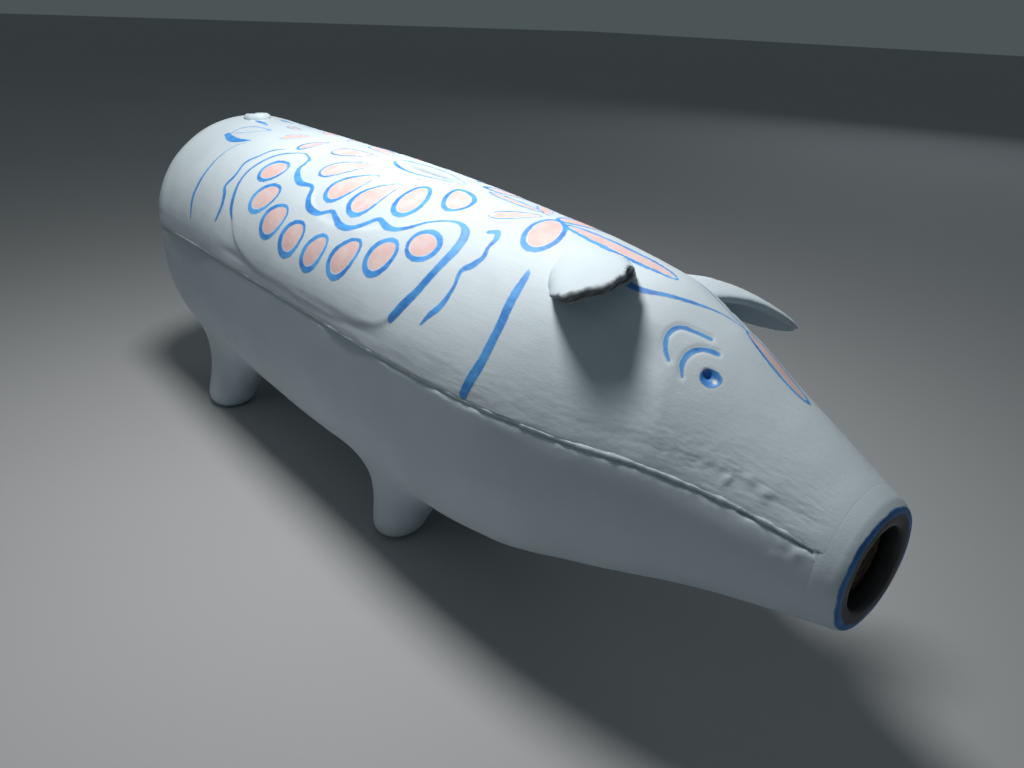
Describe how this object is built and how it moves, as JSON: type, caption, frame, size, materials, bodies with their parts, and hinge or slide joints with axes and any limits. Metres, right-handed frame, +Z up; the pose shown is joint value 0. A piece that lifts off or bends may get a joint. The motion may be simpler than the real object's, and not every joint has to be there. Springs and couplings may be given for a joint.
{
  "type": "piggy bank",
  "caption": "Long-bodied hand-painted pottery pig money bank with a coin slot on the back and a cork in the snout that pulls out to empty it.",
  "frame": {"origin": "under the middle of the body's bounding box, on the plane of the feet", "axes": "+X from the tail to the snout along the body, +Y to the pig's left, +Z up"},
  "size_m": [0.415, 0.1162, 0.1583],
  "materials": {
    "painted_pottery": "matt white paint on fired earthenware",
    "joining_slip": "rough fired slip under white paint",
    "blue_painted_pottery": "matt blue paint on fired earthenware",
    "dark_cork": "dull, darkened with age"
  },
  "bodies": {
    "bank": {"upper_shell": "painted_pottery", "lower_shell": "painted_pottery", "joint_slip": "joining_slip", "snout_disc": "blue_painted_pottery", "right_ear": "painted_pottery", "left_ear": "painted_pottery", "tail": "painted_pottery"},
    "stopper": {"cork_stopper": "dark_cork"}
  },
  "joints": [
    {"name": "stopper_pull", "type": "slide", "parent": "bank", "child": "stopper", "axis": [1, 0, 0], "range_m": [0, 0.06]}
  ]
}
